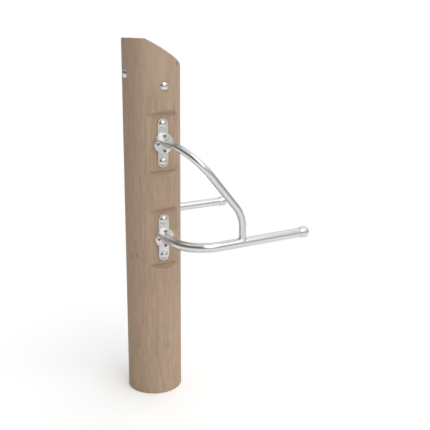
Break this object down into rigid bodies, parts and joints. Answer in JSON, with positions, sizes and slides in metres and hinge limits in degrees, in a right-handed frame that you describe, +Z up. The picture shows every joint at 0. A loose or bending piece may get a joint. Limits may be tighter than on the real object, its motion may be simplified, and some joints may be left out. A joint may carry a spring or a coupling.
{
  "type": "outdoor parallel bars",
  "caption": "Outdoor dip bars: bent steel tube handles with slanted braces, bolted to both sides of a round timber post with a sloping top",
  "frame": {"origin": "centre of the post's flat foot", "axes": "+X is the way the bars point from the post, +Y is to the left of someone looking that way, +Z is up along the post's axis"},
  "size_m": [0.5968, 0.595, 1.285],
  "materials": {
    "timber": "debarked and sanded hardwood, oiled, matt, with long grain, small checks and a few knots",
    "steel_tube": "stainless steel, satin polished round the tube",
    "steel_flange": "stainless steel, faced on a lathe, with fine turning rings",
    "steel_plate": "stainless steel, bead blasted to a soft satin",
    "steel_fasteners": "stainless steel, cold formed, lightly polished",
    "weld": "dressed stainless weld, slightly darker than the tube"
  },
  "bodies": {
    "root": {"timber_post": "timber", "tie_upper_bolt": "steel_fasteners", "tie_upper_nut": "steel_fasteners", "tie_lower_bolt": "steel_fasteners", "tie_lower_nut": "steel_fasteners", "plate_lower_bottom_bolt": "steel_fasteners", "plate_lower_bottom_nut": "steel_fasteners", "plate_lower_top_bolt": "steel_fasteners", "plate_lower_top_nut": "steel_fasteners", "plate_upper_bottom_bolt": "steel_fasteners", "plate_upper_bottom_nut": "steel_fasteners", "plate_upper_top_bolt": "steel_fasteners", "plate_upper_top_nut": "steel_fasteners", "backing_plate_lower_right": "steel_plate", "flange_lower_right": "steel_flange", "flange_weld_lower_right": "weld", "flange_screw_lower_right_1": "steel_fasteners", "flange_screw_lower_right_2": "steel_fasteners", "flange_screw_lower_right_3": "steel_fasteners", "flange_screw_lower_right_4": "steel_fasteners", "backing_plate_lower_left": "steel_plate", "flange_lower_left": "steel_flange", "flange_weld_lower_left": "weld", "flange_screw_lower_left_1": "steel_fasteners", "flange_screw_lower_left_2": "steel_fasteners", "flange_screw_lower_left_3": "steel_fasteners", "flange_screw_lower_left_4": "steel_fasteners", "backing_plate_upper_right": "steel_plate", "flange_upper_right": "steel_flange", "flange_weld_upper_right": "weld", "flange_screw_upper_right_1": "steel_fasteners", "flange_screw_upper_right_2": "steel_fasteners", "flange_screw_upper_right_3": "steel_fasteners", "flange_screw_upper_right_4": "steel_fasteners", "backing_plate_upper_left": "steel_plate", "flange_upper_left": "steel_flange", "flange_weld_upper_left": "weld", "flange_screw_upper_left_1": "steel_fasteners", "flange_screw_upper_left_2": "steel_fasteners", "flange_screw_upper_left_3": "steel_fasteners", "flange_screw_upper_left_4": "steel_fasteners", "bar_tube_right": "steel_tube", "brace_tube_right": "steel_tube", "brace_foot_weld_right": "weld", "end_cap_right": "steel_tube", "bar_tube_left": "steel_tube", "brace_tube_left": "steel_tube", "brace_foot_weld_left": "weld", "end_cap_left": "steel_tube"}
  },
  "joints": []
}
